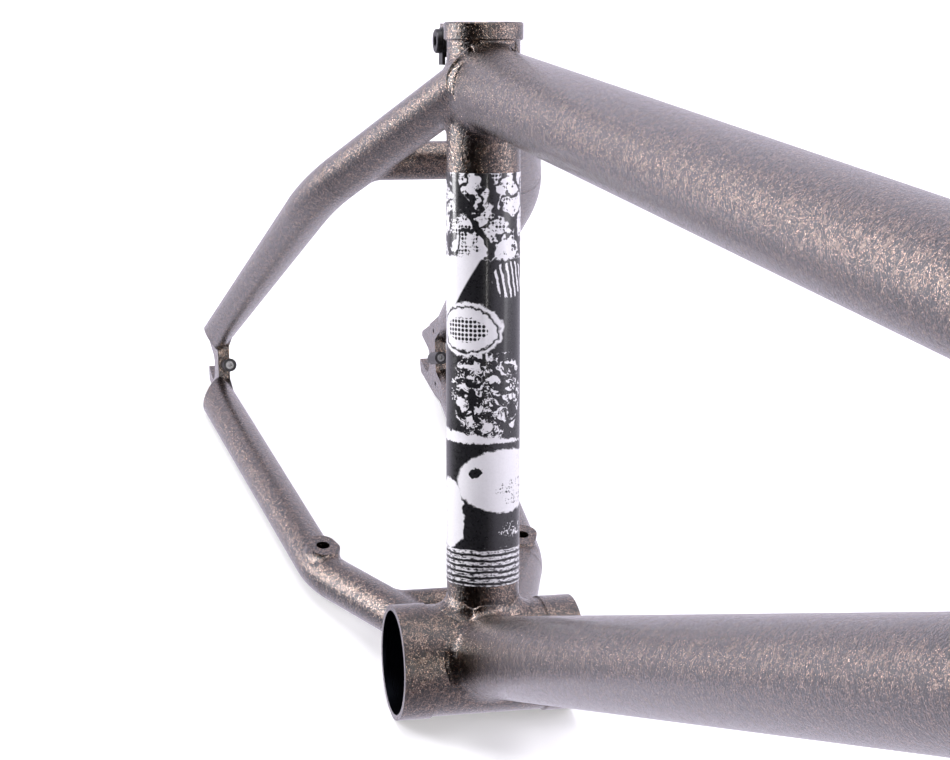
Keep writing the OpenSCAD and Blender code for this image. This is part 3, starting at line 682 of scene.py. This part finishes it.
def make_room():
    """A pale room with one dark corner ahead on the right, which the camera itself sees as white."""
    scene = bpy.context.scene
    world = bpy.data.worlds.new("room")
    scene.world = world
    world.use_nodes = True
    tree = world.node_tree
    tree.nodes.clear()
    out = tree.nodes.new("ShaderNodeOutputWorld")
    seen = tree.nodes.new("ShaderNodeBackground")
    seen.inputs["Color"].default_value = (1, 1, 1, 1)
    seen.inputs["Strength"].default_value = 1.05
    room = tree.nodes.new("ShaderNodeBackground")
    way = tree.nodes.new("ShaderNodeTexCoord")
    towards = tree.nodes.new("ShaderNodeVectorMath")
    towards.operation = "DOT_PRODUCT"
    towards.inputs[1].default_value = DARK_CORNER
    shade = tree.nodes.new("ShaderNodeMapRange")
    shade.interpolation_type = "SMOOTHSTEP"
    shade.inputs["From Min"].default_value = DARK_FROM
    shade.inputs["From Max"].default_value = DARK_TO
    colours = tree.nodes.new("ShaderNodeMix")
    colours.data_type = "RGBA"
    colours.inputs[6].default_value = ROOM_LIGHT
    colours.inputs[7].default_value = ROOM_DARK
    path = tree.nodes.new("ShaderNodeLightPath")
    mixer = tree.nodes.new("ShaderNodeMixShader")
    for a, b in ((way.outputs["Generated"], towards.inputs[0]), (towards.outputs["Value"], shade.inputs[0]),
                 (shade.outputs[0], colours.inputs["Factor"]), (colours.outputs[2], room.inputs["Color"]),
                 (path.outputs["Is Camera Ray"], mixer.inputs[0]), (room.outputs[0], mixer.inputs[1]),
                 (seen.outputs[0], mixer.inputs[2]), (mixer.outputs[0], out.inputs["Surface"])):
        tree.links.new(a, b)
    room.inputs["Strength"].default_value = 0.95
    scene.view_settings.view_transform = "Standard"


# ---------------------------------------------------------------------------------------------
# Sizes and colours that can be set before the operators run
# ---------------------------------------------------------------------------------------------


def colour_property(name, description, default):
    return bpy.props.FloatVectorProperty(
        name=name, description=description, default=default, subtype="COLOR", size=3, min=0, max=1)


class BMX_PaintProperties(bpy.types.PropertyGroup):
    """The powder coat's colours and texture."""
    dark: colour_property("Dark", "The coat's dark ground", (0.012, 0.007, 0.006))
    copper: colour_property("Copper", "The copper vein", (0.2, 0.105, 0.066))
    bright: colour_property("Bright", "The brightest flakes", (0.9, 0.7, 0.55))
    fleck_amount: bpy.props.FloatProperty(
        name="Fleck amount", description="How strongly the copper shows", default=0.75,
        min=0, max=1, subtype="FACTOR")
    hammer_size: bpy.props.FloatProperty(
        name="Hammer size", description="Width of one dimple in the coat", default=0.00105,
        min=0.0005, max=0.004, precision=5, unit="LENGTH")
    hammer_depth: bpy.props.FloatProperty(
        name="Hammer depth", description="How strongly the dimples show", default=0.55,
        min=0, max=1, subtype="FACTOR")
    gloss_low: bpy.props.FloatProperty(
        name="Smoothest", description="Roughness of the shiniest patches", default=0.16,
        min=0, max=1, subtype="FACTOR")
    gloss_high: bpy.props.FloatProperty(
        name="Roughest", description="Roughness of the dullest patches", default=0.3,
        min=0, max=1, subtype="FACTOR")


class BMX_WeldProperties(bpy.types.PropertyGroup):
    """How far the fillets of weld reach."""
    main_leg: bpy.props.FloatProperty(
        name="Main tube weld", description="Reach of the welds of the main tubes", default=0.005,
        min=0.002, max=0.008, precision=4, unit="LENGTH")
    stay_leg: bpy.props.FloatProperty(
        name="Stay weld", description="Reach of the welds of the stays", default=0.004,
        min=0.002, max=0.006, precision=4, unit="LENGTH")
    small_leg: bpy.props.FloatProperty(
        name="Small weld", description="Reach of the welds of bridges and pads", default=0.003,
        min=0.001, max=0.005, precision=4, unit="LENGTH")
    fullness: bpy.props.FloatProperty(
        name="Fullness", description="How far a weld's face stands out of its corner, against its reach",
        default=0.1, min=0, max=0.5, subtype="FACTOR")


class BMX_DecalProperties(bpy.types.PropertyGroup):
    """The decal's two inks."""
    pale: colour_property("Pale", "The decal's white", (0.80, 0.79, 0.82))
    ink: colour_property("Ink", "The decal's black", (0.010, 0.010, 0.012))


class BMX_HardwareProperties(bpy.types.PropertyGroup):
    """The fasteners' finishes."""
    black: colour_property(
        "Black steel", "Blackened clamp bolt, washer, nut and barrels", (0.012, 0.012, 0.014))
    black_worn: colour_property(
        "Worn black steel", "Blackened steel where it is rubbed", (0.035, 0.035, 0.04))
    screw: colour_property("Screw steel", "Plated tensioner screws", (0.20, 0.20, 0.215))
    screw_worn: colour_property("Worn screw steel", "Plated steel where it is rubbed", (0.34, 0.34, 0.35))


class BMX_StageProperties(bpy.types.PropertyGroup):
    """The studio's camera and floor."""
    camera_at: bpy.props.FloatVectorProperty(
        name="Camera", description="Camera position", default=(0.7377, -0.2196, 0.5017), unit="LENGTH")
    camera_azimuth: bpy.props.FloatProperty(
        name="Azimuth", description="Camera's turn from straight ahead towards the rider's right",
        default=math.radians(15.64), unit="ROTATION")
    camera_elevation: bpy.props.FloatProperty(
        name="Elevation", description="Camera's height angle", default=math.radians(26.25), unit="ROTATION")
    camera_roll: bpy.props.FloatProperty(
        name="Roll", description="Camera's tilt to one side", default=math.radians(4.96), unit="ROTATION")
    lens: bpy.props.FloatProperty(
        name="Lens", description="Focal length", default=86.7, unit="CAMERA")
    floor_colour: colour_property("Floor", "The floor's colour", (0.93, 0.93, 0.95))


# ---------------------------------------------------------------------------------------------
# Operators
# ---------------------------------------------------------------------------------------------


class BMX_OT_paint(bpy.types.Operator):
    """Puts the hammered powder coat on every painted part of the frame"""
    bl_idname = "bmx.paint"
    bl_label = "Paint the frame"

    def execute(self, context):
        for subpart in frame["record"]["subparts"]:
            node = subpart["node"]
            if subpart["material_slot"] == "hammertone_paint":
                repaint(node, bore_paint_material() if node == "bb_shell" else paint_material())
        return {"FINISHED"}


class BMX_OT_hardware(bpy.types.Operator):
    """Gives the clamp bolt, washer, nut, tensioner barrels and screws their steel finishes"""
    bl_idname = "bmx.hardware"
    bl_label = "Finish the hardware"

    def execute(self, context):
        look = context.scene.bmx_hardware
        black = steel_material("black_steel", tuple(look.black), tuple(look.black_worn), 0.35, 0.34)
        screw = steel_material("screw_steel", tuple(look.screw), tuple(look.screw_worn), 1.0, 0.3)
        finishes = {"black_steel": black, "screw_steel": screw}
        for subpart in frame["record"]["subparts"]:
            if subpart["material_slot"] in finishes:
                repaint(subpart["node"], finishes[subpart["material_slot"]])
        return {"FINISHED"}


class BMX_OT_decal(bpy.types.Operator):
    """Prints the seat tube's decal"""
    bl_idname = "bmx.decal"
    bl_label = "Print the decal"

    def execute(self, context):
        repaint("seat_tube_decal", decal_material())
        return {"FINISHED"}


class BMX_OT_main_welds(bpy.types.Operator):
    """Runs the fillets of weld round the main tubes' ends"""
    bl_idname = "bmx.main_welds"
    bl_label = "Weld the main tubes"

    def execute(self, context):
        look = context.scene.bmx_welds
        leg = millimetres(look.main_leg)
        bracket, head = bb_solid(), head_solid()
        top, down = rod(TOP_FROM, TOP_TO, MAIN_R), rod(CENTRE, DOWN_TO, MAIN_R)
        upright = rod(CENTRE, SEAT_DIR * CLAMP_NECK_FROM, SEAT_R)
        top_dir, down_dir = (TOP_TO - TOP_FROM).normalized(), DOWN_TO.normalized()
        cluster = nearest_of(seat_tube_solid(), *(seatstay_solid(side) for side, _ in SIDES))
        foot, root = nearest_of(bracket, upright), nearest_of(bracket, down)

        def seat_side(p):
            """The seat tube and seatstays, with everything behind the seat tube's axis filled."""
            return min(cluster(p), -p.dot(SEAT_BACK))

        def below_neck(p):
            """Reach over the seat tube: short of the clamp's slot, and short at the top tube's sides."""
            if abs(p.y) > SEAT_R - 1.5:
                return 1.5
            return max(1.6, min(leg, CLAMP_NECK_FROM + 6.5 - p.dot(SEAT_DIR)))

        for name, start, axis, r, onto_a, onto_b, leg_a in (
            (
                "top_tube_to_seat_tube_weld", TOP_FROM + top_dir * 60, -top_dir, MAIN_R,
                seat_side, top, below_neck),
            ("top_tube_to_head_tube_weld", TOP_TO - top_dir * 60, top_dir, MAIN_R, head, top, leg),
            ("down_tube_to_head_tube_weld", DOWN_TO - down_dir * 70, down_dir, MAIN_R, head, down, leg),
            ("down_tube_to_bracket_weld", down_dir * 90, -down_dir, MAIN_R, foot, down, leg),
            ("seat_tube_to_bracket_weld", SEAT_DIR * 90, -SEAT_DIR, SEAT_R, root, upright, leg),
        ):
            path = tube_end_path(start, axis, r, onto_a)
            add_weld(name, weld_mesh(name, path, onto_a, onto_b, leg_a, leg, look.fullness))
        return {"FINISHED"}


class BMX_OT_stay_welds(bpy.types.Operator):
    """Runs the fillets of weld round the stays' ends, the bridges and the brake pads"""
    bl_idname = "bmx.stay_welds"
    bl_label = "Weld the rear triangle"

    def execute(self, context):
        look = context.scene.bmx_welds
        for side, word in SIDES:
            self.weld_seatstay(look, side, f"seatstay_weld_{word}")
            self.weld_chainstay(look, side, f"chainstay_weld_{word}")
            self.weld_brake_pad(look, side, f"brake_pad_weld_{word}")
        for side, word in SIDES:
            name = f"seatstay_bridge_weld_{word}"
            self.weld_bridge(look, seatstay_points(side), SEAT_BRIDGE_SHARE, SEATSTAY_R, name)
        for side, word in SIDES:
            name = f"chainstay_bridge_weld_{word}"
            self.weld_bridge(look, chainstay_points(side), CHAIN_BRIDGE_SHARE, CHAINSTAY_R, name)
        return {"FINISHED"}

    def weld_seatstay(self, look, side, name):
        """Welds a seatstay's upper end to the seat tube and the top tube."""
        upper, bend, _ = seatstay_points(side)
        run = (upper - bend).normalized()
        uprights = nearest_of(seat_tube_solid(), rod(TOP_FROM, TOP_TO, MAIN_R))
        path = tube_end_path(bend + run * 40, run, SEATSTAY_R, nearest_of(uprights, stay_end_plane))
        leg = millimetres(look.stay_leg)
        add_weld(name, weld_mesh(name, path, uprights, seatstay_solid(side), leg, leg, look.fullness))

    def weld_chainstay(self, look, side, name):
        """Welds a chainstay's front end to the bracket shell."""
        front, bend, _ = chainstay_points(side)
        run = (front - bend).normalized()
        bracket, stay = bb_solid(), rod(front, bend, CHAINSTAY_R)
        path = tube_end_path(bend + run * 20, run, CHAINSTAY_R, bracket)
        leg = millimetres(look.stay_leg)
        add_weld(name, weld_mesh(name, path, bracket, stay, leg, leg, look.fullness))

    def weld_brake_pad(self, look, side, name):
        """Welds a brake pad's foot to its chainstay."""
        front, bend, rear = chainstay_points(side)
        stay = nearest_of(rod(front, bend, CHAINSTAY_R), rod(bend, rear, CHAINSTAY_R))
        path = pad_foot_path(side, stay)
        leg = millimetres(look.small_leg)
        add_weld(name, weld_mesh(name, path, stay, brake_pad_solid(side), leg, leg * 0.7, look.fullness))

    def weld_bridge(self, look, points, share, r, name):
        """Welds a bridge to its stay, a given share of the way from the stay's first point to its bend."""
        start, bend, _ = points
        at = start + (bend - start) * share
        middle = Vector((at.x, 0, at.z))
        stay, bridge = rod(start, bend, r), rod(middle * 2 - at, at, BRIDGE_R)
        path = tube_end_path(middle, ACROSS * math.copysign(1, at.y), BRIDGE_R, stay, 96)
        leg = millimetres(look.small_leg)
        add_weld(name, weld_mesh(name, path, stay, bridge, leg, leg, look.fullness))


class BMX_OT_stage(bpy.types.Operator):
    """Makes the camera, the floor, the studio's lights and the room"""
    bl_idname = "bmx.stage"
    bl_label = "Set the stage"

    def execute(self, context):
        look = context.scene.bmx_stage
        make_camera(look)
        make_floor(look)
        make_lights()
        make_room()
        return {"FINISHED"}


class BMX_PT_panel(bpy.types.Panel):
    """The frame's settings and operators"""
    bl_idname = "BMX_PT_panel"
    bl_label = "BMX frame"
    bl_space_type = "VIEW_3D"
    bl_region_type = "UI"
    bl_category = "BMX frame"

    def draw(self, context):
        for group in SETTINGS:
            settings = getattr(context.scene, group)
            box = self.layout.box()
            for name in settings.bl_rna.properties.keys():
                if name not in ("rna_type", "name"):
                    box.prop(settings, name)
        for operator in OPERATORS:
            self.layout.operator(operator.bl_idname)


SETTINGS = {
    "bmx_paint": BMX_PaintProperties,
    "bmx_welds": BMX_WeldProperties,
    "bmx_decal": BMX_DecalProperties,
    "bmx_hardware": BMX_HardwareProperties,
    "bmx_stage": BMX_StageProperties,
}
OPERATORS = (
    BMX_OT_stage, BMX_OT_paint, BMX_OT_hardware, BMX_OT_decal, BMX_OT_main_welds, BMX_OT_stay_welds)
CLASSES = (*SETTINGS.values(), *OPERATORS, BMX_PT_panel)


def register():
    for cls in CLASSES:
        bpy.utils.register_class(cls)
    for name, cls in SETTINGS.items():
        setattr(bpy.types.Scene, name, bpy.props.PointerProperty(type=cls))


def unregister():
    for name in SETTINGS:
        delattr(bpy.types.Scene, name)
    for cls in reversed(CLASSES):
        bpy.utils.unregister_class(cls)


def main():
    register()
    bpy.ops.bmx.stage()
    bpy.ops.bmx.paint()
    bpy.ops.bmx.hardware()
    bpy.ops.bmx.decal()
    bpy.ops.bmx.main_welds()
    bpy.ops.bmx.stay_welds()


if __name__ == "__main__":
    main()
